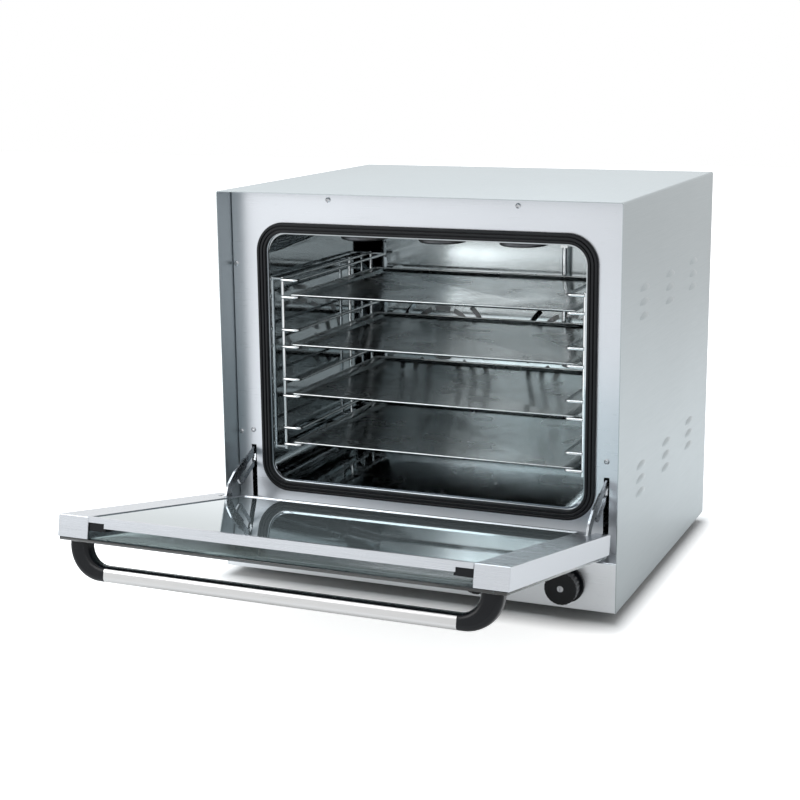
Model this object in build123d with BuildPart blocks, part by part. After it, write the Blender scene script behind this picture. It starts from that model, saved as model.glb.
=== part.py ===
"""Bench-top convection oven with a fold-down glass door, four trays and two fans.

Millimetres, +Z up, the door at the front (-Y) and lying open on its stays.
The origin is at the middle of the whole object's footprint, at the height of
the surface that the feet stand on.
"""

import os
from math import cos, radians, sin

from build123d import *

os.makedirs("parts", exist_ok=True)

# Cabinet
cabinet_width = 595.0
cabinet_depth = 530.0
cabinet_height = 555.0
foot_height = 15.0
foot_radius = 15.0
foot_taper = 2.0
foot_inset = 60.0
foot_stud_radius = 3.0
foot_stud_length = 8.0
cover_sheet = 1.2
cover_bend = 3.0
cover_return = 12.0
frame_sheet = 1.2
frame_recess = 41.0
frame_flange = 12.0
frame_corner = 3.0
frame_bend = 2.5
panel_height = 70.0
panel_sheet = 1.2
panel_bend = 2.5
pan_sheet = 1.2
pan_flange = 12.0
rear_sheet = 1.2

# Louvres of the side walls
louvre_length = 50.0
louvre_height = 8.5
louvre_rise = 2.8
louvre_wall = 1.0
louvre_pitch = 19.5
louvre_rows = 3
louvre_columns = 3
louvre_from_front = 119.0
louvre_from_back = 120.0
louvre_from_top = 138.5
louvre_from_bottom = 167.0

# Cavity
wall_space = 60.5
floor_space = 60.0
roof_space = 63.0
rear_space = 67.0
cavity_radius = 28.0
liner_sheet = 1.0
liner_flange = 12.0
insulation_thickness = 20.0
insulation_gap = 0.3

# Door gasket
mouth_lap_side = 2.5
mouth_lap_low = 3.0
mouth_lap_high = 2.0
gasket_width = 15.0
gasket_base = 3.0
gasket_height = 5.7
gasket_ridges = 3
gasket_groove = 1.2
gasket_ridge_fillet = 1.0

# Fan baffle
baffle_side_gap = 30.0
baffle_low_gap = 4.0
baffle_high_gap = 2.0
baffle_stand_off = 64.0
baffle_sheet = 1.0
baffle_foot = 10.0
fan_pitch = 216.0
fan_drop = 26.0
guard_radii = (30.0, 52.0, 74.0)
guard_spokes = (3, 5, 7)
guard_slot = 8.0
guard_spoke = 7.0

# Fans, their motors and their ring heaters
wheel_radius = 75.0
wheel_sheet = 1.5
wheel_clearance = 16.5
blade_count = 12
blade_length = 22.0
blade_depth = 28.0
blade_sheet = 1.2
blade_angle = 35.0
hub_radius = 12.0
hub_length = 24.0
shaft_radius = 4.0
shaft_chamfer = 0.5
shaft_recess = 1.0
shaft_clearance = 0.05
shaft_wall_hole = 7.0
motor_width = 76.0
motor_height = 62.0
motor_stack = 20.0
motor_stand_off = 22.0
motor_post_radius = 4.0
motor_post_pitch = 54.0
motor_post_rows = 46.0
motor_bearing_radius = 10.0
motor_bearing_length = 6.0
ring_clearance = 8.5
ring_tube_radius = 3.5
ring_stand_off = 32.0
ring_gap_angle = 24.0
lead_length = 12.0
tube_hole_gap = 0.5

# Grill element under the roof
grill_tube_radius = 4.0
grill_pitch = 61.0
grill_runs = 6
grill_drop = 8.5
grill_front = 92.0
grill_rear = 24.0
hanger_width = 10.0
hanger_sheet = 1.2
hanger_gap = 0.3
hanger_setback = 132.5

# Thermostat bulb
bulb_radius = 4.0
bulb_x = 101.0
bulb_length = 190.0
bulb_stand_off = 13.0
bulb_clip_width = 11.0
bulb_clip_height = 6.0
bulb_clip_sheet = 1.0
bulb_clip_shares = (0.25, 0.75)
ferrule_radius = 6.0
ferrule_height = 3.0

# Racks
tray_count = 4
lowest_tray = 51.5
highest_tray = 90.0
wire_radius = 2.25
post_radius = 2.5
post_from_wall = 8.0
wire_from_wall = 33.0
rack_front = 66.0
rack_middle = 300.0
rack_rear = 384.0
upper_wire_rise = 20.5
wire_bend = 6.0
weld_sink = 0.6
post_over_top = 24.0
post_under_bottom = 12.5

# Trays
tray_depth = 315.0
tray_front = 62.0
tray_sheet = 1.0
tray_side_gap = 19.5
tray_ledge = 18.0
tray_end_ledge = 8.0
tray_recess = 4.0
tray_corner = 10.0
tray_outer_corner = 5.0
tray_lip = 2.2
tray_clearance = 0.25

# Door
door_open_angle = 79.0
door_side_gap = 3.5
door_lap_low = 24.0
door_lap_high = 26.4
door_clearance = 0.3
channel_width = 43.0
channel_depth = 28.0
channel_sheet = 1.2
channel_fillet = 1.0
pane_chamfer = 0.4
pane_sheet = 4.0
pane_gap = 0.3
outer_pane_inset = 2.5
rail_lip = 6.0
rail_band = 12.7
rail_band_inset = 22.0
rail_sheet = 1.2
block_length = 19.0
block_width = 24.0
block_inset = 2.5
block_depth = 10.0

# Handle
handle_from_edge = 19.4
handle_stand_off = 38.0
handle_section = 20.0
handle_round = 7.0
handle_leg_width = 27.5
handle_leg_inset = 10.5
handle_foot = 3.0
sleeve_depth = 17.0
sleeve_wall = 1.2
handle_screw_radius = 2.5
handle_screw_grip = 10.0
handle_screw_head = 4.5
handle_screw_head_height = 2.5
screw_hole_gap = 0.3

# Hinges
hinge_inset = 24.0
pivot_rise = 7.6
pivot_pin_radius = 3.0
pin_clearance = 0.05
pin_head_radius = 4.5
pin_head = 1.0
nose_thickness = 4.0
nose_hub = 6.0
nose_shoulder = 5.0
nose_lift = 2.0
nose_height = 22.0
nose_lead = 5.0
nose_tail = 20.0
lever_sheet = 1.4
lever_hub = 7.0
lever_gap = 0.3
lever_end = 60.0
lever_web_start = 8.0
stay_pin_s = 24.0
stay_pin_d = 8.0
stay_pin_radius = 3.0
stay_pin_hub = 6.0
stay_thickness = 3.0
stay_width = 15.0
stay_arm_width = 10.0
stay_hub = 9.0
stay_tail_hole = 3.0
stay_bend = 10.0
stay_bends = ((8.3, 16.9), (26.3, 29.4), (58.3, 42.9), (91.3, 56.9))
stay_tail = (106.3, 60.9)
strap_points = ((30.0, 31.0), (43.3, 13.9), (89.3, 36.9), (97.0, 58.0))
strap_width = 5.0
strap_bend = 4.0
channel_slot = 45.0
slot_width = 8.0
slot_low = 4.0
slot_high = 107.5
housing_sheet = 1.5
housing_width = 11.0
housing_depth = 147.8
housing_height = 142.0
housing_tab = 29.0
housing_tab_width = 16.0
spring_radius = 3.4
spring_bore = 2.2
spring_length = 70.0
spring_rise = 24.0
spring_pin_radius = 2.0
spring_front = 57.0
spring_seat_gap = 0.3

# Dials
dial_x = 227.0
timer_x = 105.0
dial_height = 35.0
knob_radius = 23.0
knob_flange_radius = 26.5
knob_flange = 3.0
knob_depth = 27.0
knob_gap = 1.2
knob_waist = 2.0
knob_groove_radius = 1.6
knob_grooves = 24
knob_edge = 1.2
spindle_radius = 3.0
spindle_cap_radius = 4.5
spindle_cap = 6.0
spindle_proud = 0.6
spindle_slot = 1.4
bushing_radius = 4.7
bushing_hole_gap = 0.3
dial_body_width = 40.0
dial_body_depth = 32.0
dial_body_round = 3.0
spindle_inside = 20.0
spindle_end_gap = 1.0

# Indicator lamps
lamp_positions = (145.0, 172.0)
lamp_radius = 5.0
lamp_bezel_radius = 6.5
lamp_bezel = 2.0
lamp_length = 22.0

# Mains connection
gland_x = -215.0
gland_height = 45.0
gland_bore = 5.0
gland_radius = 10.0
gland_flange_radius = 14.0
gland_flange = 4.0
gland_nose = 14.0
gland_nose_radius = 8.0
gland_tail = 12.0
terminal_width = 60.0
terminal_depth = 22.0
terminal_height = 24.0
terminal_from_back = 28.0

# Screws of the cabinet
screw_radius = 2.0
screw_head_radius = 3.6
screw_head = 2.2
screw_length = 8.0
screw_gap = 0.1
frame_screw_top_x = 141.0
frame_screw_top_drop = 11.0
frame_screw_side_inset = 7.5
frame_screw_heights = (196.0, 447.0)
hinge_screw_height = 200.0
rear_screw_inset = 7.5
rear_screw_heights = (90.0, 300.0, 500.0)
rear_screw_top_x = 180.0
vent_width = 60.0
vent_height = 6.0
vent_pitch = 14.0
vent_count = 5
vent_columns = 3
vent_column_pitch = 150.0

# Places that follow from the sizes
side_x = cabinet_width / 2
inner_x = side_x - cover_sheet
body_z = foot_height
top_z = body_z + cabinet_height
roof_z = top_z - cover_sheet
ledge_z = body_z + panel_height
cavity_x = side_x - wall_space
cavity_low = ledge_z + floor_space
cavity_high = top_z - roof_space
cavity_mid = (cavity_low + cavity_high) / 2

door_x = side_x - door_side_gap
door_low = cavity_low - door_lap_low
door_length = cavity_high + door_lap_high - door_low
hinge_x = door_x - hinge_inset
pivot_z = ledge_z + pivot_rise
pivot_s = pivot_z - door_low
pivot_d = frame_recess - gasket_height - door_clearance
tilt = radians(90.0 - door_open_angle)
glass_out = channel_depth + pane_sheet

# The open door reaches this far in front of the cabinet's front edges.
door_reach = (door_length - pivot_s) * cos(tilt) + (glass_out - pivot_d) * sin(tilt)
front_y = (door_reach - cabinet_depth - gland_nose) / 2
back_y = front_y + cabinet_depth
frame_y = front_y + frame_recess
liner_y = frame_y + frame_sheet
back_wall_y = back_y - rear_space
baffle_y = back_wall_y - liner_sheet - baffle_stand_off
baffle_x = cavity_x - baffle_side_gap
fan_x = fan_pitch / 2
fan_z = cavity_mid - fan_drop
grill_z = cavity_high - grill_drop
grill_leg_x = grill_pitch * (grill_runs - 1) / 2
tray_x = cavity_x - tray_side_gap
tray_pitch = (cavity_high - highest_tray - cavity_low - lowest_tray) / (tray_count - 1)
dial_z = body_z + dial_height

# The open door's own directions: s runs from the hinge edge to the free edge, and d runs
# from the inner face to the outer one.
s_axis = Vector(0, -cos(tilt), sin(tilt))
d_axis = Vector(0, -sin(tilt), -cos(tilt))
pivot = Vector(0, front_y, pivot_z)
door_corner = pivot - s_axis * pivot_s - d_axis * pivot_d


def front_plane(y):
    """The plane at y that faces the front: its own x and y are the model's X and Z."""
    return Plane(origin=(0, y, 0), x_dir=(1, 0, 0), z_dir=(0, -1, 0))


def side_plane(x):
    """The plane at x that faces right: its own x and y are the model's Y and Z."""
    return Plane(origin=(x, 0, 0), x_dir=(0, 1, 0), z_dir=(1, 0, 0))


def door_plane(d):
    """The open door's plane at depth d: its own x and y are X and s."""
    return Plane(origin=door_corner + d_axis * d, x_dir=(1, 0, 0), z_dir=d_axis)


def door_side(x):
    """The plane across the open door at x: its own x and y are s and d."""
    return Plane(
        origin=door_corner + Vector(x, 0, 0), x_dir=s_axis, z_dir=(1, 0, 0)
    )


def patch(low, high, mode=Mode.ADD):
    """A rectangle between two corners of the open sketch."""
    with Locations(((low[0] + high[0]) / 2, (low[1] + high[1]) / 2)):
        Rectangle(high[0] - low[0], high[1] - low[1], mode=mode)


def block(low, high, mode=Mode.ADD):
    """A box between two corners of the open part."""
    middle = [(a + b) / 2 for a, b in zip(low, high)]
    with Locations(tuple(middle)):
        Box(high[0] - low[0], high[1] - low[1], high[2] - low[2], mode=mode)


def save(piece, name):
    """Labels a finished piece and writes its file."""
    piece.label = name
    export_step(piece, f"parts/{name}.step")


def side_name(side):
    """The word for a side: -1 is left, 1 is right, seen from the front."""
    return "left" if side < 0 else "right"


frame_screw_places = [
    (side * x, z)
    for side in (-1, 1)
    for x, z in (
        [(frame_screw_top_x, roof_z - frame_screw_top_drop)]
        + [(side_x - frame_screw_side_inset, body_z + z) for z in frame_screw_heights]
        + [(hinge_x, body_z + hinge_screw_height)]
    )
]
rear_screw_places = [
    (side * x, z)
    for side in (-1, 1)
    for x, z in (
        [(rear_screw_top_x, roof_z - rear_screw_inset)]
        + [(side_x - rear_screw_inset, body_z + z) for z in rear_screw_heights]
        + [(rear_screw_top_x, body_z + rear_screw_inset)]
    )
]
foot_places = {
    "foot_front_left": (-side_x + foot_inset, front_y + foot_inset),
    "foot_front_right": (side_x - foot_inset, front_y + foot_inset),
    "foot_rear_left": (-side_x + foot_inset, back_y - foot_inset),
    "foot_rear_right": (side_x - foot_inset, back_y - foot_inset),
}


# Outer cover: the top and both sides in one sheet, with domed louvres that open downwards
louvre_radius = (louvre_height**2 + louvre_rise**2) / (2 * louvre_rise)
louvre_middles = (body_z + louvre_from_bottom, top_z - louvre_from_top)
louvre_step = (cabinet_depth - louvre_from_front - louvre_from_back) / (louvre_columns - 1)
louvre_places = [
    (
        side_x + louvre_rise - louvre_radius,
        front_y + louvre_from_front + column * louvre_step,
        middle + (row - louvre_rows / 2) * louvre_pitch,
    )
    for column in range(louvre_columns)
    for middle in louvre_middles
    for row in range(louvre_rows)
]


def louvre(wall):
    """A quarter turn of a shallow arc about the louvre's bottom edge, less a wall's thickness."""
    end_y = louvre_length / 2 - wall
    end_x = louvre_radius - louvre_rise - wall
    with BuildPart() as dome:
        with BuildSketch():
            with BuildLine():
                Polyline((end_x, -end_y), (0, -end_y), (0, end_y), (end_x, end_y))
                ThreePointArc((end_x, end_y), (louvre_radius - wall, 0), (end_x, -end_y))
            make_face()
        revolve(axis=Axis.Y, revolution_arc=-90)
    return dome.part


with BuildPart() as outer_cover:
    with BuildSketch(front_plane(front_y)) as cover_profile:
        patch((0, body_z), (side_x, top_z))
        fillet(cover_profile.vertices().sort_by_distance((side_x, top_z))[0], cover_bend)
        with BuildSketch(mode=Mode.PRIVATE) as cover_inside:
            patch((-1, body_z - 1), (inner_x, roof_z))
            fillet(
                cover_inside.vertices().sort_by_distance((inner_x, roof_z))[0],
                cover_bend - cover_sheet,
            )
        add(cover_inside.sketch, mode=Mode.SUBTRACT)
    extrude(amount=-cabinet_depth)
    with BuildSketch(front_plane(back_y - rear_sheet)):
        patch((0, body_z + pan_flange), (inner_x, roof_z))
        patch((-1, body_z), (inner_x - cover_return, roof_z - cover_return), mode=Mode.SUBTRACT)
    extrude(amount=cover_sheet)
    with Locations(*louvre_places):
        add(louvre(0.0))
        add(louvre(louvre_wall), mode=Mode.SUBTRACT)
    with BuildSketch(front_plane(back_y)):
        with Locations(*[place for place in rear_screw_places if place[0] > 0]):
            Circle(screw_radius + screw_gap)
    extrude(amount=-(rear_sheet + cover_sheet), both=True, mode=Mode.SUBTRACT)
    mirror(about=Plane.YZ)
save(outer_cover.part, "outer_cover")


# Front frame: the recessed plate around the mouth, its edges folded back
mouth_x = cavity_x + mouth_lap_side
mouth_low = cavity_low - mouth_lap_low
mouth_high = cavity_high + mouth_lap_high
mouth_mid = (mouth_low + mouth_high) / 2

with BuildPart() as front_frame:
    with BuildSketch(front_plane(frame_y)) as frame_outline:
        patch((-inner_x, ledge_z), (inner_x, roof_z))
        fillet(frame_outline.vertices().group_by(Axis.Y)[-1], frame_corner)
    extrude(amount=-frame_flange)
    frame_edges = front_frame.faces().sort_by(Axis.Y)[0].edges()
    fillet(frame_edges.sort_by(Axis.Z)[1:], frame_bend)
    with BuildSketch(front_plane(liner_y)):
        patch(
            (-inner_x + frame_sheet, ledge_z + frame_sheet),
            (inner_x - frame_sheet, roof_z - frame_sheet),
        )
    extrude(amount=-frame_flange, mode=Mode.SUBTRACT)
    with BuildSketch(front_plane(frame_y)):
        with Locations((0, mouth_mid)):
            RectangleRounded(2 * mouth_x, mouth_high - mouth_low, cavity_radius)
        for side in (-1, 1):
            slot_x = side * hinge_x
            patch(
                (slot_x - slot_width / 2, ledge_z + slot_low),
                (slot_x + slot_width / 2, ledge_z + slot_high),
            )
        with Locations(*frame_screw_places):
            Circle(screw_radius + screw_gap)
    extrude(amount=-frame_sheet, mode=Mode.SUBTRACT)
save(front_frame.part, "front_frame")


# Control panel: the strip under the door and the ledge that joins it to the front frame
with BuildPart() as control_panel:
    with BuildSketch(side_plane(-inner_x)) as panel_profile:
        patch((front_y, body_z), (liner_y, ledge_z))
        fillet(panel_profile.vertices().sort_by_distance((front_y, ledge_z))[0], panel_bend)
        with BuildSketch(mode=Mode.PRIVATE) as panel_inside:
            patch((front_y + panel_sheet, body_z - 1), (liner_y + 1, ledge_z - panel_sheet))
            fillet(
                panel_inside.vertices().sort_by_distance(
                    (front_y + panel_sheet, ledge_z - panel_sheet)
                )[0],
                panel_bend - panel_sheet,
            )
        add(panel_inside.sketch, mode=Mode.SUBTRACT)
    extrude(amount=2 * inner_x)
    with BuildSketch(front_plane(front_y)):
        with Locations((dial_x, dial_z), (timer_x, dial_z)):
            Circle(bushing_radius + bushing_hole_gap)
        with Locations(*[(x, dial_z) for x in lamp_positions]):
            Circle(lamp_radius + bushing_hole_gap)
    extrude(amount=-panel_sheet, mode=Mode.SUBTRACT)
save(control_panel.part, "control_panel")


# Base pan: the floor of the cabinet, its edges turned up
pan_front = front_y + panel_sheet
pan_back = back_y - rear_sheet

with BuildPart() as base_pan:
    block((-inner_x, pan_front, body_z), (inner_x, pan_back, body_z + pan_flange))
    block(
        (-inner_x + pan_sheet, pan_front + pan_sheet, body_z + pan_sheet),
        (inner_x - pan_sheet, pan_back - pan_sheet, body_z + pan_flange + 1),
        mode=Mode.SUBTRACT,
    )
    with Locations(*[(x, y, body_z + pan_flange) for x, y in foot_places.values()]):
        Hole(foot_stud_radius + screw_gap)
    with BuildSketch(Plane.XY.offset(body_z)):
        with Locations((0, front_y + cabinet_depth / 2)):
            with GridLocations(vent_column_pitch, vent_pitch, vent_columns, vent_count):
                SlotOverall(vent_width, vent_height)
    extrude(amount=pan_sheet, mode=Mode.SUBTRACT)
    with BuildSketch(front_plane(back_y)):
        with Locations(*rear_screw_places):
            Circle(screw_radius + screw_gap)
    extrude(amount=rear_sheet + 2 * pan_sheet, mode=Mode.SUBTRACT)
save(base_pan.part, "base_pan")


# Rear panel: a flat plate on the cover's return, with vents behind the motors
with BuildPart() as rear_panel:
    with BuildSketch(front_plane(back_y - rear_sheet)) as rear_outline:
        patch((-inner_x, body_z), (inner_x, roof_z))
        fillet(rear_outline.vertices().group_by(Axis.Y)[-1], cover_bend - cover_sheet)
        with Locations(*rear_screw_places):
            Circle(screw_radius + screw_gap, mode=Mode.SUBTRACT)
        for x in (-fan_x, fan_x):
            with Locations((x, fan_z)):
                with GridLocations(1, vent_pitch, 1, vent_count):
                    SlotOverall(vent_width, vent_height, mode=Mode.SUBTRACT)
        with Locations((gland_x, body_z + gland_height)):
            Circle(gland_radius + screw_gap, mode=Mode.SUBTRACT)
    extrude(amount=-rear_sheet)
save(rear_panel.part, "rear_panel")


# Door gasket: a flat rubber frame with rounded ridges all the way round
ridge_pitch = gasket_width / gasket_ridges


def mouth_ring(inner, outer):
    """A sketch of the ring between two distances outside the mouth's edge."""
    with BuildSketch() as ring:
        with Locations((0, mouth_mid)):
            RectangleRounded(
                2 * (mouth_x + outer), mouth_high - mouth_low + 2 * outer, cavity_radius + outer
            )
            RectangleRounded(
                2 * (mouth_x + inner),
                mouth_high - mouth_low + 2 * inner,
                cavity_radius + inner,
                mode=Mode.SUBTRACT,
            )
    return ring.sketch


with BuildPart() as door_gasket:
    with BuildSketch(front_plane(frame_y)):
        add(mouth_ring(0, gasket_width))
    extrude(amount=gasket_base)
    for ridge in range(gasket_ridges):
        ridge_start = ridge * ridge_pitch + gasket_groove / 2
        with BuildSketch(front_plane(frame_y - gasket_base)):
            add(mouth_ring(ridge_start, ridge_start + ridge_pitch - gasket_groove))
        extrude(amount=gasket_height - gasket_base)
    ridge_tops = door_gasket.faces().filter_by(Axis.Y).group_by(Axis.Y)[0]
    fillet(ridge_tops.edges(), gasket_ridge_fillet)
save(door_gasket.part, "door_gasket")


# Cavity liner: the polished box, open at the front, with a flange behind the front frame
ring_radius = wheel_radius + ring_clearance + ring_tube_radius
ring_holes = [
    (side * fan_x + offset, fan_z - ring_radius * cos(radians(ring_gap_angle / 2)))
    for side in (-1, 1)
    for offset in (
        -ring_radius * sin(radians(ring_gap_angle / 2)),
        ring_radius * sin(radians(ring_gap_angle / 2)),
    )
]
cavity_height = cavity_high - cavity_low
liner_x = cavity_x + liner_sheet

with BuildPart() as cavity_liner:
    with BuildSketch(front_plane(liner_y)):
        with Locations((0, cavity_mid)):
            RectangleRounded(
                2 * liner_x, cavity_height + 2 * liner_sheet, cavity_radius + liner_sheet
            )
    extrude(amount=-(back_wall_y - liner_y))
    with BuildSketch(front_plane(liner_y)):
        with Locations((0, cavity_mid)):
            RectangleRounded(
                2 * (cavity_x + liner_flange),
                cavity_height + 2 * liner_flange,
                cavity_radius + liner_flange,
            )
    extrude(amount=-liner_sheet)
    with BuildSketch(front_plane(liner_y)):
        with Locations((0, cavity_mid)):
            RectangleRounded(2 * cavity_x, cavity_height, cavity_radius)
    extrude(amount=-(back_wall_y - liner_y - liner_sheet), mode=Mode.SUBTRACT)
    with BuildSketch(front_plane(back_wall_y)):
        with Locations((-fan_x, fan_z), (fan_x, fan_z)):
            Circle(shaft_wall_hole)
        with Locations((-grill_leg_x, grill_z), (grill_leg_x, grill_z)):
            Circle(grill_tube_radius + tube_hole_gap)
        with Locations(*ring_holes):
            Circle(ring_tube_radius + tube_hole_gap)
    extrude(amount=liner_sheet, mode=Mode.SUBTRACT)
save(cavity_liner.part, "cavity_liner")


# Insulation: a blanket around the liner
with BuildPart() as insulation:
    with BuildSketch(front_plane(liner_y + liner_sheet + insulation_gap)):
        with Locations((0, cavity_mid)):
            RectangleRounded(
                2 * (liner_x + insulation_thickness),
                cavity_height + 2 * (liner_sheet + insulation_thickness),
                cavity_radius + insulation_thickness,
            )
            RectangleRounded(
                2 * (liner_x + insulation_gap),
                cavity_height + 2 * (liner_sheet + insulation_gap),
                cavity_radius + liner_sheet + insulation_gap,
                mode=Mode.SUBTRACT,
            )
    extrude(amount=-(back_wall_y - liner_y - liner_sheet - insulation_gap))
save(insulation.part, "insulation")


# Fan baffle: the sheet in front of the fans, standing on the back wall, with two guards
baffle_low = cavity_low + baffle_low_gap
baffle_high = cavity_high - baffle_high_gap
baffle_back = back_wall_y - liner_sheet


def guard_slots():
    """The rings of arc-shaped slots in front of one fan, around the sketch's origin."""
    with BuildSketch() as slots:
        for radius, spokes in zip(guard_radii, guard_spokes):
            with BuildSketch(mode=Mode.PRIVATE) as ring:
                Circle(radius + guard_slot / 2)
                Circle(radius - guard_slot / 2, mode=Mode.SUBTRACT)
                with PolarLocations(0, spokes, angular_range=180, endpoint=False):
                    Rectangle(2 * radius + 2 * guard_slot, guard_spoke, mode=Mode.SUBTRACT)
            add(ring.sketch)
    return slots.sketch


with BuildPart() as fan_baffle:
    with BuildSketch(side_plane(-baffle_x)):
        patch((baffle_y, baffle_low), (baffle_back, baffle_high))
        patch(
            (baffle_y + baffle_sheet, baffle_low + baffle_sheet),
            (baffle_back + 1, baffle_high - baffle_sheet),
            mode=Mode.SUBTRACT,
        )
        for z in (baffle_low, baffle_high - baffle_foot):
            patch((baffle_back - baffle_sheet, z), (baffle_back, z + baffle_foot))
    extrude(amount=2 * baffle_x)
    with BuildSketch(front_plane(baffle_y)):
        with Locations((-fan_x, fan_z), (fan_x, fan_z)):
            add(guard_slots())
        with Locations((-grill_leg_x, grill_z), (grill_leg_x, grill_z)):
            Circle(grill_tube_radius + tube_hole_gap)
    extrude(amount=-baffle_sheet, mode=Mode.SUBTRACT)
    with BuildSketch(front_plane(baffle_back)):
        with Locations((-grill_leg_x, grill_z), (grill_leg_x, grill_z)):
            Circle(grill_tube_radius + tube_hole_gap)
    extrude(amount=baffle_sheet, mode=Mode.SUBTRACT)
save(fan_baffle.part, "fan_baffle")


# Racks: posts on pegs at the wall, and two bent wires for every tray
def tray_edge(level):
    """The height of a tray's rim, counted from the top tray as level 0."""
    return cavity_high - highest_tray - level * tray_pitch


def rack(side):
    """The wire runners of one side wall: a welded frame, and bent wires set into its posts."""
    post_x = side * (cavity_x - post_from_wall)
    wire_x = side * (cavity_x - wire_from_wall)
    reach = post_radius + wire_radius - weld_sink
    wire_front = front_y + rack_front - reach
    wire_rear = front_y + rack_rear + reach
    post_low = tray_edge(tray_count - 1) - post_under_bottom
    post_high = tray_edge(0) + post_over_top
    with BuildPart() as frame:
        for y in (rack_front, rack_middle, rack_rear):
            with Locations((post_x, front_y + y, (post_low + post_high) / 2)):
                Cylinder(post_radius, post_high - post_low)
            for z in (post_low + post_radius, post_high - post_radius):
                with BuildSketch(side_plane(post_x)):
                    with Locations((front_y + y, z)):
                        Circle(post_radius - weld_sink / 2)
                extrude(amount=side * post_from_wall)
        for z in (post_low + post_radius, post_high - post_radius):
            with BuildSketch(front_plane(front_y + rack_front)):
                with Locations((post_x, z)):
                    Circle(wire_radius)
            extrude(amount=-(rack_rear - rack_front))
    pieces = [frame.solid()]
    for level in range(tray_count):
        lower_z = tray_edge(level) - tray_lip - tray_clearance - wire_radius
        for z in (lower_z, tray_edge(level) + upper_wire_rise):
            with BuildPart() as wire:
                with BuildLine() as route:
                    FilletPolyline(
                        (post_x, wire_front, z),
                        (wire_x, wire_front, z),
                        (wire_x, wire_rear, z),
                        (post_x, wire_rear, z),
                        radius=wire_bend,
                    )
                with BuildSketch(Plane(origin=route.line @ 0, z_dir=route.line % 0)):
                    Circle(wire_radius)
                sweep(path=route.line)
                add(frame.part, mode=Mode.SUBTRACT)
            pieces.append(wire.solid())
    return Compound(pieces)


for side in (-1, 1):
    save(rack(side), f"rack_{side_name(side)}")


# Grill element: one tube bent to and fro under the roof, its ends through the back wall
with BuildPart() as grill_element:
    front_turn = front_y + grill_front + grill_pitch / 2
    rear_turn = baffle_y - grill_rear - grill_pitch / 2
    lead_end = back_wall_y + lead_length
    with BuildLine() as grill_route:
        x = -grill_leg_x
        start = (x, lead_end, grill_z)
        for run in range(grill_runs):
            turn = front_turn if run % 2 == 0 else rear_turn
            end = (x, turn, grill_z) if run < grill_runs - 1 else (x, lead_end, grill_z)
            Line(start, end)
            if run < grill_runs - 1:
                bulge = -grill_pitch / 2 if run % 2 == 0 else grill_pitch / 2
                start = (x + grill_pitch, turn, grill_z)
                ThreePointArc(end, (x + grill_pitch / 2, turn + bulge, grill_z), start)
            x += grill_pitch
    with BuildSketch(Plane(origin=grill_route.line @ 0, z_dir=grill_route.line % 0)):
        Circle(grill_tube_radius)
    sweep(path=grill_route.line)
save(grill_element.part, "grill_element")


# Element hanger: a strap under the tubes that hangs from the roof
hanger_y = front_y + grill_front + hanger_setback
hanger_top = grill_z - grill_tube_radius - hanger_gap
hanger_reach = grill_leg_x + grill_tube_radius

with BuildPart() as element_hanger:
    block(
        (-hanger_reach, hanger_y, hanger_top - hanger_sheet),
        (hanger_reach, hanger_y + hanger_width, hanger_top),
    )
    for x in (-grill_pitch, grill_pitch):
        block(
            (x - hanger_sheet / 2, hanger_y, hanger_top - hanger_sheet),
            (x + hanger_sheet / 2, hanger_y + hanger_width, cavity_high),
        )
save(element_hanger.part, "element_hanger")


# Ring elements: a heater around each fan, its two leads through the back wall
ring_y = back_wall_y - ring_stand_off


def ring_element(side):
    """The heater around one fan, open at the bottom between its leads."""
    with BuildPart() as element:
        with BuildLine(front_plane(ring_y)) as loop:
            CenterArc(
                (side * fan_x, fan_z),
                ring_radius,
                start_angle=ring_gap_angle / 2 - 90.0,
                arc_size=360.0 - ring_gap_angle,
            )
        with BuildSketch(Plane(origin=loop.line @ 0, z_dir=loop.line % 0)):
            Circle(ring_tube_radius)
        sweep(path=loop.line)
        for x, z in ring_holes:
            if x * side > 0:
                with Locations((x, ring_y, z)):
                    Sphere(ring_tube_radius)
                with BuildSketch(front_plane(ring_y)):
                    with Locations((x, z)):
                        Circle(ring_tube_radius)
                extrude(amount=-(back_wall_y + lead_length - ring_y))
    return element.part


for side in (-1, 1):
    save(ring_element(side), f"ring_element_{side_name(side)}")


# Fan wheels, shafts and motors
wheel_back = back_wall_y - liner_sheet - wheel_clearance
motor_front = back_wall_y + motor_stand_off
shaft_front = wheel_back - hub_length
shaft_back = motor_front + motor_stack + motor_bearing_length - shaft_recess


def fan_wheel(side):
    """A disc with blades towards the baffle and a hub on the shaft."""
    centre_x = side * fan_x
    with BuildPart() as wheel:
        with BuildSketch(front_plane(wheel_back)):
            with Locations((centre_x, fan_z)):
                Circle(wheel_radius)
        extrude(amount=wheel_sheet)
        with BuildSketch(front_plane(wheel_back)):
            with Locations((centre_x, fan_z)):
                Circle(hub_radius)
        extrude(amount=hub_length)
        with BuildSketch(front_plane(wheel_back)):
            with Locations((centre_x, fan_z)):
                with PolarLocations(wheel_radius - blade_length / 2, blade_count):
                    Rectangle(blade_length, blade_sheet, rotation=blade_angle)
        extrude(amount=blade_depth)
        with BuildSketch(front_plane(wheel_back)):
            with Locations((centre_x, fan_z)):
                Circle(shaft_radius)
        extrude(amount=blade_depth, mode=Mode.SUBTRACT)
    return wheel.part


def fan_shaft(side):
    """The steel shaft from the wheel to the motor's rear bearing."""
    with BuildPart() as shaft:
        with BuildSketch(front_plane(shaft_front)):
            with Locations((side * fan_x, fan_z)):
                Circle(shaft_radius)
        extrude(amount=-(shaft_back - shaft_front))
        chamfer(shaft.edges().filter_by(GeomType.CIRCLE), shaft_chamfer)
    return shaft.part


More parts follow.
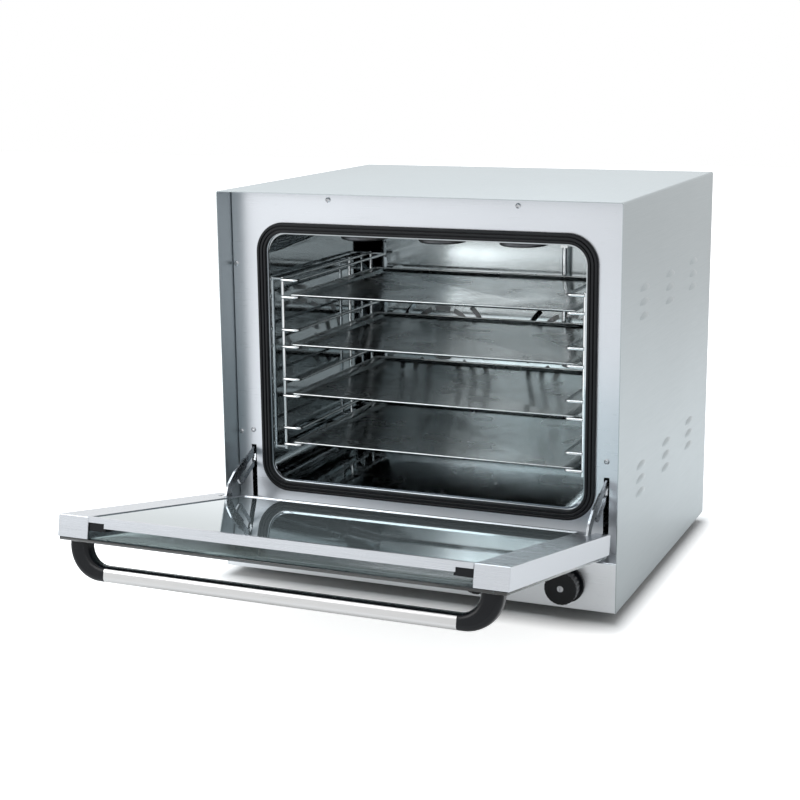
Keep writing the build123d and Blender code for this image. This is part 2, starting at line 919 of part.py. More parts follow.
def motor(side):
    """A laminated motor on four posts behind the back wall, with its two bearings."""
    centre_x = side * fan_x
    with BuildPart() as body:
        with BuildSketch(front_plane(motor_front)):
            with Locations((centre_x, fan_z)):
                RectangleRounded(motor_width, motor_height, motor_post_radius)
        extrude(amount=-motor_stack)
        with BuildSketch(front_plane(back_wall_y)):
            with Locations((centre_x, fan_z)):
                with GridLocations(motor_post_pitch, motor_post_rows, 2, 2):
                    Circle(motor_post_radius)
        extrude(amount=-motor_stand_off)
        with BuildSketch(front_plane(motor_front - motor_bearing_length)):
            with Locations((centre_x, fan_z)):
                Circle(motor_bearing_radius)
        extrude(amount=-(motor_stack + 2 * motor_bearing_length))
        with BuildSketch(front_plane(motor_front - motor_bearing_length)):
            with Locations((centre_x, fan_z)):
                Circle(shaft_radius + shaft_clearance)
        extrude(amount=-(motor_stack + 2 * motor_bearing_length), mode=Mode.SUBTRACT)
    return body.part


for side in (-1, 1):
    save(fan_wheel(side), f"fan_wheel_{side_name(side)}")
    save(fan_shaft(side), f"fan_shaft_{side_name(side)}")
    save(motor(side), f"motor_{side_name(side)}")


# Thermostat bulb: a rod clipped to the baffle, its ferrule in the roof
with BuildPart() as thermostat_bulb:
    bulb_y = baffle_y - bulb_stand_off
    with Locations((bulb_x, bulb_y, cavity_high)):
        Cylinder(
            bulb_radius, bulb_length, align=(Align.CENTER, Align.CENTER, Align.MAX)
        )
        Cylinder(
            ferrule_radius, ferrule_height, align=(Align.CENTER, Align.CENTER, Align.MAX)
        )
    fillet(thermostat_bulb.edges().sort_by(Axis.Z)[0], bulb_radius / 2)
    for share in bulb_clip_shares:
        clip_z = cavity_high - share * bulb_length
        block(
            (bulb_x - bulb_clip_width / 2, bulb_y - bulb_radius - bulb_clip_sheet, clip_z),
            (bulb_x + bulb_clip_width / 2, baffle_y, clip_z + bulb_clip_height),
        )
save(thermostat_bulb.part, "thermostat_bulb")


# Hinge housings: a box behind each slot, its screw tab, and the nose that carries the door
housing_low = ledge_z + frame_sheet
housing_high = housing_low + housing_height
nose_low = ledge_z + slot_low + nose_lift
spring_z = housing_low + spring_rise


def hinge_housing(side):
    """One hinge box with its nose plate and the two pins of its spring."""
    x = side * hinge_x
    outer = housing_width / 2
    inner = outer - housing_sheet
    seat = housing_low + housing_sheet / 2
    nose_outline = [
        (front_y, pivot_z - nose_hub),
        (frame_y - nose_lead, nose_low),
        (liner_y + housing_sheet, nose_low),
        (liner_y + housing_sheet, seat),
        (liner_y + nose_tail, seat),
        (liner_y + nose_tail, nose_low + nose_height),
        (frame_y - nose_lead, nose_low + nose_height),
        (front_y + nose_hub, pivot_z + nose_shoulder),
    ]
    with BuildPart() as housing:
        block(
            (x - outer, liner_y, housing_low),
            (x + outer, liner_y + housing_depth, housing_high),
        )
        block(
            (x - inner, liner_y - 1, housing_low + housing_sheet),
            (x + inner, liner_y + housing_depth - housing_sheet, housing_high - housing_sheet),
            mode=Mode.SUBTRACT,
        )
        block(
            (x - housing_tab_width / 2, liner_y, housing_high - housing_tab),
            (x + housing_tab_width / 2, liner_y + housing_sheet, housing_high),
        )
        with BuildSketch(front_plane(liner_y)):
            with Locations((x, body_z + hinge_screw_height)):
                Circle(screw_radius + screw_gap)
        extrude(amount=-housing_sheet, mode=Mode.SUBTRACT)
        with BuildSketch(side_plane(x - nose_thickness / 2)):
            Polygon(*nose_outline, align=None)
            with Locations((front_y, pivot_z)):
                Circle(nose_hub)
                Circle(pivot_pin_radius, mode=Mode.SUBTRACT)
        extrude(amount=nose_thickness)
        with BuildSketch(side_plane(x - outer + housing_sheet / 2)):
            for reach in (-spring_pin_radius, spring_length + spring_pin_radius):
                with Locations((liner_y + spring_front + reach, spring_z)):
                    Circle(spring_pin_radius)
        extrude(amount=housing_width - housing_sheet)
    return housing.part


for side in (-1, 1):
    save(hinge_housing(side), f"hinge_housing_{side_name(side)}")


# Hinge springs: a close-wound coil between the two pins of each housing
with BuildPart() as hinge_springs:
    for side in (-1, 1):
        with BuildSketch(front_plane(liner_y + spring_front + spring_seat_gap)):
            with Locations((side * hinge_x, spring_z)):
                Circle(spring_radius)
                Circle(spring_bore, mode=Mode.SUBTRACT)
        extrude(amount=-(spring_length - 2 * spring_seat_gap))
save(hinge_springs.part, "hinge_springs")


# Hinge pins: one in each nose, with a head outside each lever plate
lever_inner = nose_thickness / 2 + lever_gap
lever_outer = lever_inner + lever_sheet
pin_reach = lever_outer + lever_gap

with BuildPart() as hinge_pins:
    for side in (-1, 1):
        for radius, start, length in (
            (pivot_pin_radius, -pin_reach, 2 * pin_reach),
            (pin_head_radius, -pin_reach - pin_head, pin_head),
            (pin_head_radius, pin_reach, pin_head),
        ):
            with BuildSketch(side_plane(side * hinge_x + start)):
                with Locations((front_y, pivot_z)):
                    Circle(radius)
            extrude(amount=length)
save(hinge_pins.part, "hinge_pins")


# Hinge levers: a fork in each door channel that turns on the hinge pin
channel_in_x = door_x - channel_width
channel_floor = channel_depth - channel_sheet


def hinge_lever(side):
    """Two plates joined by a web on the channel's outer wall."""
    x = side * hinge_x
    outline = [
        (pivot_s, pivot_d + lever_hub),
        (0, channel_floor),
        (lever_end, channel_floor),
        (lever_end, stay_pin_d),
        (stay_pin_s, stay_pin_d - stay_pin_hub),
        (0, stay_pin_d + channel_sheet),
        (pivot_s - lever_hub / 2, pivot_d - lever_hub),
    ]
    with BuildPart() as lever:
        for start in (-lever_outer, lever_inner):
            with BuildSketch(door_side(x + start)):
                Polygon(*outline, align=None)
                with Locations((pivot_s, pivot_d)):
                    Circle(lever_hub)
                    Circle(pivot_pin_radius + pin_clearance, mode=Mode.SUBTRACT)
                with Locations((stay_pin_s, stay_pin_d)):
                    Circle(stay_pin_hub)
                    Circle(stay_pin_radius, mode=Mode.SUBTRACT)
            extrude(amount=lever_sheet)
        with BuildSketch(door_side(x - lever_outer)):
            patch((lever_web_start, channel_floor - lever_sheet), (lever_end, channel_floor))
        extrude(amount=2 * lever_outer)
    return lever.part


for side in (-1, 1):
    save(hinge_lever(side), f"hinge_lever_{side_name(side)}")


# Stay pins: one across each lever's fork
with BuildPart() as stay_pins:
    for side in (-1, 1):
        with BuildSketch(door_side(side * hinge_x - lever_outer)):
            with Locations((stay_pin_s, stay_pin_d)):
                Circle(stay_pin_radius)
        extrude(amount=2 * lever_outer)
save(stay_pins.part, "stay_pins")


# Stays: a cranked plate from each lever's fork through the slot into the housing
stay_pin = door_corner + s_axis * stay_pin_s + d_axis * stay_pin_d


def stay(side):
    """One stay, drawn in the open position from its pin at the door."""

    def from_pin(point):
        return (stay_pin.Y + point[0], stay_pin.Z + point[1])

    with BuildPart() as plate:
        with BuildSketch(side_plane(side * hinge_x - stay_thickness / 2)):
            with BuildLine():
                FilletPolyline(
                    (stay_pin.Y, stay_pin.Z),
                    *[from_pin(point) for point in stay_bends],
                    from_pin(stay_tail),
                    radius=stay_bend,
                )
            trace(line_width=stay_arm_width)
            with BuildLine():
                FilletPolyline(
                    (stay_pin.Y, stay_pin.Z),
                    *[from_pin(point) for point in stay_bends[:3]],
                    radius=stay_bend,
                )
            trace(line_width=stay_width)
            with BuildLine():
                FilletPolyline(*[from_pin(point) for point in strap_points], radius=strap_bend)
            trace(line_width=strap_width)
            with Locations((stay_pin.Y, stay_pin.Z)):
                Circle(stay_hub)
                Circle(stay_pin_radius + pin_clearance, mode=Mode.SUBTRACT)
            with Locations(from_pin(stay_tail)):
                Circle(stay_arm_width / 2)
                Circle(stay_tail_hole, mode=Mode.SUBTRACT)
        extrude(amount=stay_thickness)
    return plate.part


for side in (-1, 1):
    save(stay(side), f"stay_{side_name(side)}")


# Door channels: the sheet boxes at the door's sides, closed at the free end
handle_s = door_length - handle_from_edge
handle_d = glass_out + handle_stand_off
handle_x = door_x - handle_leg_inset
bracket_x = handle_x - handle_leg_width / 2


def door_channel(side):
    """One side box of the door, with the stay's slot and the handle screw's hole."""
    low = min(side * door_x, side * channel_in_x)
    slot_x = side * hinge_x
    with BuildPart() as channel:
        with BuildSketch(door_plane(0)):
            patch((low, 0), (low + channel_width, door_length))
        extrude(amount=channel_depth)
        along = Axis(door_corner, s_axis)
        fillet(channel.edges().sort_by(along)[4:], channel_fillet)
        with BuildSketch(door_plane(channel_sheet)):
            patch(
                (low + channel_sheet, -1),
                (low + channel_width - channel_sheet, door_length - channel_sheet),
            )
        extrude(amount=channel_depth - 2 * channel_sheet, mode=Mode.SUBTRACT)
        with BuildSketch(door_plane(0)):
            patch((slot_x - slot_width / 2, -1), (slot_x + slot_width / 2, channel_slot))
        extrude(amount=channel_sheet, mode=Mode.SUBTRACT)
        with BuildSketch(door_plane(channel_floor)):
            with Locations((side * bracket_x, handle_s)):
                Circle(handle_screw_radius + screw_hole_gap)
        extrude(amount=channel_sheet, mode=Mode.SUBTRACT)
    return channel.part


for side in (-1, 1):
    save(door_channel(side), f"door_channel_{side_name(side)}")


# Door panes: the mirrored inner one between the channels, the tinted outer one over all
pane_x = channel_in_x - pane_gap
pane_edge = rail_sheet + pane_gap

with BuildPart() as door_inner_glass:
    with BuildSketch(door_plane(rail_sheet)):
        patch((-pane_x, pane_edge), (pane_x, door_length - pane_edge))
    extrude(amount=pane_sheet)
    chamfer(door_inner_glass.edges(), pane_chamfer)
save(door_inner_glass.part, "door_inner_glass")

with BuildPart() as door_outer_glass:
    with BuildSketch(door_plane(channel_depth)):
        patch((outer_pane_inset - door_x, 0), (door_x - outer_pane_inset, door_length))
    extrude(amount=pane_sheet)
    chamfer(door_outer_glass.edges(), pane_chamfer)
    with BuildSketch(door_plane(channel_depth)):
        with Locations((-bracket_x, handle_s), (bracket_x, handle_s)):
            Circle(handle_screw_radius + screw_hole_gap)
    extrude(amount=pane_sheet, mode=Mode.SUBTRACT)
save(door_outer_glass.part, "door_outer_glass")


# Door rails: folded strips that hold the inner pane at the free edge and at the hinge edge
pane_back = rail_sheet + pane_sheet + pane_gap
rail_back = pane_back + rail_sheet

with BuildPart() as door_rail:
    with BuildSketch(door_side(-pane_x)):
        patch((door_length - rail_sheet - rail_lip, 0), (door_length, rail_back))
        patch(
            (door_length - rail_sheet - rail_lip - 1, rail_sheet),
            (door_length - rail_sheet, pane_back),
            mode=Mode.SUBTRACT,
        )
    extrude(amount=2 * pane_x)
    band_x = channel_in_x - rail_band_inset
    band_s = door_length - 2 * rail_sheet
    with BuildSketch(door_side(-band_x)):
        patch((band_s, rail_back - rail_sheet / 2), (band_s + rail_sheet, rail_band))
    extrude(amount=2 * band_x)
save(door_rail.part, "door_rail")

with BuildPart() as door_hinge_rail:
    with BuildSketch(door_side(-pane_x)):
        patch((0, 0), (rail_sheet + rail_lip, rail_sheet))
        patch((0, 0), (rail_sheet, channel_depth - pane_gap))
    extrude(amount=2 * pane_x)
save(door_hinge_rail.part, "door_hinge_rail")


# Glass blocks: plastic pieces under the inner pane at the four corners
with BuildPart() as glass_blocks:
    for s_start, d_start, block_back in (
        (rail_sheet + block_inset, pane_back, channel_depth - pane_gap),
        (
            door_length - block_inset - block_length,
            rail_back + pane_gap,
            rail_back + pane_gap + block_depth,
        ),
    ):
        for x_start in (-pane_x, pane_x - block_width):
            with BuildSketch(door_plane(d_start)):
                patch((x_start, s_start), (x_start + block_width, s_start + block_length))
            extrude(amount=block_back - d_start)
save(glass_blocks.part, "glass_blocks")


# Handle: a plastic loop on the outer pane, with a steel sleeve over its straight part
opening_x = handle_x - handle_leg_width
inner_bend = handle_stand_off - handle_section / 2 - handle_foot
outer_bend = handle_stand_off + handle_section / 2 - handle_foot
sleeve_x = opening_x - inner_bend
handle_frame = Plane(
    origin=door_corner + s_axis * handle_s, x_dir=(1, 0, 0), z_dir=s_axis * -1
)


def sleeve_profile():
    """The sleeve's open section, in s and d around the bar's axis."""
    with BuildSketch() as profile:
        RectangleRounded(handle_section, handle_section, handle_round)
        hollow = handle_section - 2 * sleeve_wall
        RectangleRounded(hollow, hollow, handle_round - sleeve_wall, mode=Mode.SUBTRACT)
        patch(
            (-handle_section, -handle_section),
            (handle_section, handle_section / 2 - sleeve_depth),
            mode=Mode.SUBTRACT,
        )
    return profile.sketch


with BuildPart() as handle_core:
    with BuildSketch(handle_frame) as handle_outline:
        patch((-handle_x, glass_out), (handle_x, handle_d + handle_section / 2))
        fillet(handle_outline.vertices().group_by(Axis.Y)[-1], outer_bend)
        with BuildSketch(mode=Mode.PRIVATE) as handle_opening:
            patch((-opening_x, glass_out - 1), (opening_x, handle_d - handle_section / 2))
            fillet(handle_opening.vertices().group_by(Axis.Y)[-1], inner_bend)
        add(handle_opening.sketch, mode=Mode.SUBTRACT)
    extrude(amount=handle_section / 2, both=True)
    handle_sides = handle_core.faces().filter_by(Axis(door_corner, s_axis))
    fillet(handle_sides.edges().sort_by(Axis(door_corner, d_axis))[4:], handle_round)
    with BuildSketch(door_side(-sleeve_x)):
        with Locations((handle_s, handle_d)):
            add(sleeve_profile())
    extrude(amount=2 * sleeve_x, mode=Mode.SUBTRACT)
    with BuildSketch(door_plane(glass_out)):
        with Locations((-bracket_x, handle_s), (bracket_x, handle_s)):
            Circle(handle_screw_radius)
    extrude(amount=handle_screw_grip, mode=Mode.SUBTRACT)
save(handle_core.part, "handle_core")

with BuildPart() as handle_sleeve:
    with BuildSketch(door_side(-sleeve_x)):
        with Locations((handle_s, handle_d)):
            add(sleeve_profile())
    extrude(amount=2 * sleeve_x)
save(handle_sleeve.part, "handle_sleeve")

with BuildPart() as handle_screws:
    for x in (-bracket_x, bracket_x):
        with BuildSketch(door_plane(channel_floor)):
            with Locations((x, handle_s)):
                Circle(handle_screw_head)
        extrude(amount=-handle_screw_head_height)
        with BuildSketch(door_plane(channel_floor)):
            with Locations((x, handle_s)):
                Circle(handle_screw_radius)
        extrude(amount=glass_out - channel_floor + handle_screw_grip)
save(handle_screws.part, "handle_screws")


# Dials: two knobs on the control panel, their spindles, and the switch bodies behind it
dials = {"thermostat": dial_x, "timer": timer_x}
panel_back = front_y + panel_sheet
knob_front = front_y - knob_depth


def dial_knob(x):
    """A skirted knob with a fluted grip, bored for its spindle."""
    with BuildPart() as knob:
        with BuildSketch(front_plane(front_y - knob_gap)):
            with Locations((x, dial_z)):
                Circle(knob_flange_radius)
        extrude(amount=knob_flange)
        fillet(knob.faces().sort_by(Axis.Y)[0].edges(), knob_edge / 2)
        with BuildSketch(front_plane(front_y - knob_gap - knob_flange)):
            with Locations((x, dial_z)):
                Circle(knob_radius - knob_waist)
        extrude(amount=knob_waist)
        with BuildSketch(front_plane(front_y - knob_gap - knob_flange - knob_waist)):
            with Locations((x, dial_z)):
                Circle(knob_radius)
        extrude(amount=knob_depth - knob_gap - knob_flange - knob_waist)
        fillet(knob.faces().sort_by(Axis.Y)[0].edges(), knob_edge)
        with BuildSketch(front_plane(knob_front)):
            with Locations((x, dial_z)):
                with PolarLocations(knob_radius + knob_groove_radius / 2, knob_grooves):
                    Circle(knob_groove_radius)
        extrude(
            amount=-(knob_depth - knob_gap - knob_flange - knob_waist), mode=Mode.SUBTRACT
        )
        with BuildSketch(front_plane(knob_front)):
            with Locations((x, dial_z)):
                Circle(spindle_cap_radius)
        extrude(amount=-spindle_cap, mode=Mode.SUBTRACT)
        with BuildSketch(front_plane(knob_front)):
            with Locations((x, dial_z)):
                Circle(spindle_radius)
        extrude(amount=-knob_depth, mode=Mode.SUBTRACT)
    return knob.part


def dial_spindle(x):
    """The steel spindle with its slotted cap in the middle of the knob."""
    with BuildPart() as spindle:
        with BuildSketch(front_plane(knob_front + spindle_cap)):
            with Locations((x, dial_z)):
                Circle(spindle_cap_radius)
        extrude(amount=spindle_cap + spindle_proud)
        fillet(spindle.faces().sort_by(Axis.Y)[0].edges(), spindle_proud / 2)
        with BuildSketch(front_plane(knob_front + spindle_cap)):
            with Locations((x, dial_z)):
                Circle(spindle_radius)
        extrude(amount=-(knob_depth - spindle_cap + panel_sheet + spindle_inside))
        with BuildSketch(front_plane(knob_front - spindle_proud)):
            with Locations((x, dial_z)):
                Rectangle(spindle_slot, 2 * spindle_cap_radius)
        extrude(amount=-spindle_slot, mode=Mode.SUBTRACT)
    return spindle.part


def dial_body(x):
    """A switch body on the panel's back, its bushing through the panel."""
    with BuildPart() as body:
        with BuildSketch(front_plane(panel_back)):
            with Locations((x, dial_z)):
                RectangleRounded(dial_body_width, dial_body_width, dial_body_round)
        extrude(amount=-dial_body_depth)
        with BuildSketch(front_plane(panel_back)):
            with Locations((x, dial_z)):
                Circle(bushing_radius)
        extrude(amount=panel_sheet + knob_gap / 2)
        with BuildSketch(front_plane(front_y - knob_gap)):
            with Locations((x, dial_z)):
                Circle(spindle_radius + pin_clearance)
        extrude(
            amount=-(knob_gap + panel_sheet + spindle_inside + spindle_end_gap),
            mode=Mode.SUBTRACT,
        )
    return body.part


for dial, x in dials.items():
    save(dial_knob(x), f"{dial}_knob")
    save(dial_spindle(x), f"{dial}_spindle")
    save(dial_body(x), f"{dial}_body")


# Indicator lamps: two lenses in the control panel
with BuildPart() as indicator_lamps:
    for x in lamp_positions:
        with BuildSketch(front_plane(front_y)):
            with Locations((x, dial_z)):
                Circle(lamp_bezel_radius)
        extrude(amount=lamp_bezel)
        with BuildSketch(front_plane(front_y)):
            with Locations((x, dial_z)):
                Circle(lamp_radius)
        extrude(amount=-lamp_length)
    fillet(indicator_lamps.faces().group_by(Axis.Y)[0].edges(), lamp_bezel / 2)
save(indicator_lamps.part, "indicator_lamps")


# Trays: shallow pans with raised rims, whose side ledges lie on the racks' lower wires
def tray(level):
    """One pan, counted from the top as level 0."""
    rim = tray_edge(level)
    ledge = rim - tray_lip + tray_sheet
    middle_y = front_y + tray_front + tray_depth / 2
    pan_width = 2 * (tray_x - tray_ledge)
    pan_depth = tray_depth - 2 * tray_end_ledge
    wall = tray_sheet * 2**0.5
    with BuildPart() as pan:
        with BuildSketch(Plane.XY.offset(rim)):
            with Locations((0, middle_y)):
                RectangleRounded(2 * tray_x, tray_depth, tray_outer_corner)
        extrude(amount=-tray_lip)
        with BuildSketch(Plane.XY.offset(rim)):
            with Locations((0, middle_y)):
                RectangleRounded(
                    2 * (tray_x - tray_sheet),
                    tray_depth - 2 * tray_sheet,
                    tray_outer_corner - tray_sheet,
                )
        extrude(amount=tray_sheet - tray_lip, mode=Mode.SUBTRACT)
        for drop, inset, mode in (
            (tray_recess + tray_sheet, 0.0, Mode.ADD),
            (tray_recess, wall, Mode.SUBTRACT),
        ):
            with BuildSketch(Plane.XY.offset(ledge)):
                with Locations((0, middle_y)):
                    RectangleRounded(
                        pan_width - 2 * inset, pan_depth - 2 * inset, tray_corner - inset
                    )
            with BuildSketch(Plane.XY.offset(ledge - drop)):
                with Locations((0, middle_y)):
                    RectangleRounded(
                        pan_width - 2 * inset - 2 * drop,
                        pan_depth - 2 * inset - 2 * drop,
                        tray_corner - inset - drop,
                    )
            loft(mode=mode)
    return pan.part


for level in range(tray_count):
    save(tray(level), f"tray_{level + 1}")


# Feet: rubber cones with a stud through the base pan
for name, (x, y) in foot_places.items():
    with BuildPart() as foot:
        with Locations((x, y, 0)):
            Cone(
                foot_radius - foot_taper,
                foot_radius,
                foot_height,
                align=(Align.CENTER, Align.CENTER, Align.MIN),
            )
        with Locations((x, y, foot_height)):
            Cylinder(
                foot_stud_radius,
                foot_stud_length,
                align=(Align.CENTER, Align.CENTER, Align.MIN),
            )
    save(foot.part, name)


# Mains connection: the cord's gland in the rear panel and the terminal block behind it
gland_z = body_z + gland_height

with BuildPart() as cable_gland:
    for start, end, radius in (
        (back_y, back_y + gland_flange, gland_flange_radius),
        (back_y, back_y + gland_nose, gland_nose_radius),
        (back_y - gland_tail, back_y, gland_radius),
    ):
        with BuildSketch(front_plane(start)):
            with Locations((gland_x, gland_z)):
                Circle(radius)
        extrude(amount=-(end - start))
    with BuildSketch(front_plane(back_y - gland_tail)):
        with Locations((gland_x, gland_z)):
            Circle(gland_bore)
    extrude(amount=-(gland_tail + gland_nose), mode=Mode.SUBTRACT)
save(cable_gland.part, "cable_gland")

with BuildPart() as terminal_block:
    terminal_low = body_z + pan_sheet
    terminal_y = back_y - terminal_from_back
    block(
        (gland_x - terminal_width / 2, terminal_y - terminal_depth, terminal_low),
        (gland_x + terminal_width / 2, terminal_y, terminal_low + terminal_height),
    )
    with BuildSketch(Plane.XY.offset(terminal_low + terminal_height)):
        with Locations((gland_x, terminal_y - terminal_depth / 2)):
            with GridLocations(terminal_width / 3, 1, 3, 1):
                Circle(screw_head_radius)
    extrude(amount=-terminal_height / 2, mode=Mode.SUBTRACT)
save(terminal_block.part, "terminal_block")


# Screws of the cabinet: pan heads outside, shanks through the sheets
def screws(places, seat_y, inwards):
    """Equal screws seated on the plane at seat_y, their shanks pointing inwards (+1 is +Y)."""
    with BuildPart() as group:
        with BuildSketch(front_plane(seat_y)):
            with Locations(*places):
                Circle(screw_head_radius)
        extrude(amount=inwards * screw_head)
        heads = group.faces().filter_by(Axis.Y).sort_by(Axis.Y, reverse=inwards < 0)
        fillet(heads[: len(places)].edges(), screw_head / 2)
        with BuildSketch(front_plane(seat_y)):
            with Locations(*places):
                Circle(screw_radius)
        extrude(amount=-inwards * screw_length)
    return group.part


save(screws(frame_screw_places, frame_y, 1), "frame_screws")
save(screws(rear_screw_places, back_y, -1), "cover_screws")
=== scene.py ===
"""Looks of the bench-top convection oven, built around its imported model. Metres, +Z up."""

from math import cos, pi, radians, sin

import bmesh
import bpy
from mathutils import Matrix, Vector


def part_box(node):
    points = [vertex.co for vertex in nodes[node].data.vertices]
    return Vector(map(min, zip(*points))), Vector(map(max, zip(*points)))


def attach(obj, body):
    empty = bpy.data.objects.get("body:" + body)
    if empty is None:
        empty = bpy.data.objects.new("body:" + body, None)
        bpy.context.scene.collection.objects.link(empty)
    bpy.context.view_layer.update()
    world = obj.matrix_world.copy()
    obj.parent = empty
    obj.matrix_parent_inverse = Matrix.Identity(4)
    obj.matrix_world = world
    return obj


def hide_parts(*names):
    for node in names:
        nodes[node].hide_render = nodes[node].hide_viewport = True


PRINT_WIDTH = 0.010
PANE_TINT = (0.66, 0.78, 0.77)
PANE_PRINT = (0.010, 0.020, 0.024)
PANE_GAP = 0.0001
FLOOR_GLOW = 0.80
FLOOR_MIRRORED = 0.42
SHADOW_REACH = 0.055
GLOW_REACH = 0.6
SIDE_SHADOW_SQUEEZE = 1.9
CABINET_FOOTPRINT = ((-0.2975, -0.056), (0.2975, 0.474))

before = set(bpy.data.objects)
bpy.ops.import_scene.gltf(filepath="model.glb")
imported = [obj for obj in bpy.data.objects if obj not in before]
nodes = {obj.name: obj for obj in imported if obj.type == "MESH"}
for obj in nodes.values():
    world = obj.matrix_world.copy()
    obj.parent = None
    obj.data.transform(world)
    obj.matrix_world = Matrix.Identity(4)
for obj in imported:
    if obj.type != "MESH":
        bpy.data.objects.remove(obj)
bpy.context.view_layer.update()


# The material kit.
class Finish:
    """A material under construction: its node tree and its main shader."""

    def __init__(self, name, colour, metallic, roughness):
        self.material = bpy.data.materials.new(name)
        self.material.use_nodes = True
        self.tree = self.material.node_tree
        self.shader = self.tree.nodes["Principled BSDF"]
        self.colour = (*colour, 1.0)
        self.set("Base Color", self.colour)
        self.set("Metallic", metallic)
        self.set("Roughness", roughness)
        self.place = self.node("ShaderNodeTexCoord").outputs["Object"]
        self.last_bump = None

    def set(self, socket, value):
        self.shader.inputs[socket].default_value = value

    def node(self, kind, **settings):
        made = self.tree.nodes.new(kind)
        for key, value in settings.items():
            setattr(made, key, value)
        return made

    def link(self, start, end):
        self.tree.links.new(start, end)

    def noise(self, scale, stretch=(1, 1, 1), detail=2.0, rough=0.5):
        """Noise over the piece, squeezed by stretch along X, Y and Z."""
        mapping = self.node("ShaderNodeMapping")
        mapping.inputs["Scale"].default_value = stretch
        self.link(self.place, mapping.inputs["Vector"])
        made = self.node("ShaderNodeTexNoise")
        made.inputs["Scale"].default_value = scale
        made.inputs["Detail"].default_value = detail
        made.inputs["Roughness"].default_value = rough
        self.link(mapping.outputs["Vector"], made.inputs["Vector"])
        return made.outputs["Fac"]

    def spread(self, source, low, high, start=0.3, end=0.7):
        """The source brought from start..end to low..high."""
        made = self.node("ShaderNodeMapRange")
        for socket, value in (
            ("From Min", start), ("From Max", end), ("To Min", low), ("To Max", high)
        ):
            made.inputs[socket].default_value = value
        self.link(source, made.inputs["Value"])
        return made.outputs["Result"]

    def vary_roughness(self, source, low, high):
        self.link(self.spread(source, low, high), self.shader.inputs["Roughness"])

    def vary_colour(self, source, dark, light):
        """The base colour between two shades, by the source."""
        ramp = self.node("ShaderNodeValToRGB")
        ramp.color_ramp.elements[0].position = 0.3
        ramp.color_ramp.elements[1].position = 0.7
        ramp.color_ramp.elements[0].color = (*dark, 1.0)
        ramp.color_ramp.elements[1].color = (*light, 1.0)
        self.link(source, ramp.inputs["Fac"])
        self.link(ramp.outputs["Color"], self.shader.inputs["Base Color"])

    def bump(self, source, depth):
        """Relief of that depth in metres, on top of any relief already there."""
        made = self.node("ShaderNodeBump")
        made.inputs["Distance"].default_value = depth
        self.link(source, made.inputs["Height"])
        if self.last_bump:
            self.link(self.last_bump, made.inputs["Normal"])
        self.last_bump = made.outputs["Normal"]
        self.link(self.last_bump, self.shader.inputs["Normal"])


def shades(colour, spread):
    """A darker and a lighter shade around a colour."""
    return [c * (1 - spread) for c in colour], [min(1.0, c * (1 + spread)) for c in colour]


def brushed(name, colour, roughness, grain, depth=1.2e-6):
    """Satin sheet with its grain drawn along one axis."""
    finish = Finish(name, colour, 1.0, roughness)
    stretch = [0.012 if axis == grain else 1.0 for axis in "XYZ"]
    lines = finish.noise(1400.0, stretch, detail=3.0, rough=0.6)
    cloud = finish.noise(3.0, detail=3.0)
    finish.vary_roughness(lines, roughness * 0.9, roughness * 1.1)
    finish.vary_colour(cloud, *shades(colour, 0.03))
    finish.bump(lines, depth)
    return finish.material


def polished(name, colour, roughness, wave, wave_scale=5.0, metallic=1.0):
    """Mirror-polished sheet, slightly wavy as rolled sheet is."""
    finish = Finish(name, colour, metallic, roughness)
    finish.bump(finish.noise(wave_scale, detail=1.0), wave)
    smear = finish.noise(14.0, (1, 1, 0.4), detail=4.0)
    finish.vary_roughness(smear, roughness * 0.7, roughness * 1.5)
    finish.vary_colour(finish.noise(2.5), *shades(colour, 0.04))
    return finish.material


def plated(name, colour, roughness):
    """Bright plated steel with faint drawing marks."""
    finish = Finish(name, colour, 1.0, roughness)
    marks = finish.noise(300.0, detail=2.0)
    finish.vary_roughness(marks, roughness * 0.8, roughness * 1.3)
    finish.vary_colour(finish.noise(40.0), *shades(colour, 0.05))
    finish.bump(marks, 1e-6)
    return finish.material


def moulded(name, colour, roughness, grain=2500.0, depth=1.2e-5, specular=0.5):
    """Moulded plastic or rubber with a fine leathered skin."""
    finish = Finish(name, colour, 0.0, roughness)
    finish.set("Specular IOR Level", specular)
    skin = finish.noise(grain, detail=2.0)
    finish.vary_roughness(finish.noise(60.0, detail=3.0), roughness * 0.85, roughness * 1.15)
    finish.vary_colour(finish.noise(20.0), *shades(colour, 0.12))
    finish.bump(skin, depth)
    return finish.material


def heated_tube():
    """Steel sheath darkened by heat, brown and blue in places."""
    finish = Finish("heated_tube", (0.10, 0.10, 0.105), 0.85, 0.42)
    finish.vary_colour(finish.noise(22.0, detail=4.0), (0.07, 0.065, 0.06), (0.16, 0.165, 0.18))
    finish.vary_roughness(finish.noise(180.0), 0.34, 0.55)
    finish.bump(finish.noise(1500.0), 1e-5)
    return finish.material


def mineral_wool():
    finish = Finish("mineral_wool", (0.72, 0.69, 0.58), 0.0, 0.95)
    fibres = finish.noise(220.0, (1, 0.25, 1), detail=6.0, rough=0.7)
    finish.vary_colour(fibres, (0.55, 0.52, 0.42), (0.80, 0.77, 0.66))
    finish.bump(fibres, 8e-4)
    return finish.material


def tinted_pane():
    """Teal float glass with a dark border printed along the free edge."""
    finish = Finish("tinted_pane", PANE_TINT, 0.0, 0.03)
    finish.set("Transmission Weight", 0.92)
    finish.set("IOR", 1.6)
    finish.set("Coat Weight", 0.6)
    finish.set("Coat Roughness", 0.02)
    split = finish.node("ShaderNodeSeparateXYZ")
    finish.link(finish.place, split.inputs["Vector"])
    print_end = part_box("door_outer_glass")[0][1] + PRINT_WIDTH
    border = finish.spread(split.outputs["Y"], 0.0, 1.0, print_end, print_end + 0.001)
    finish.vary_colour(border, PANE_PRINT, PANE_TINT)
    finish.bump(finish.noise(6.0), 4e-7)
    return finish.material


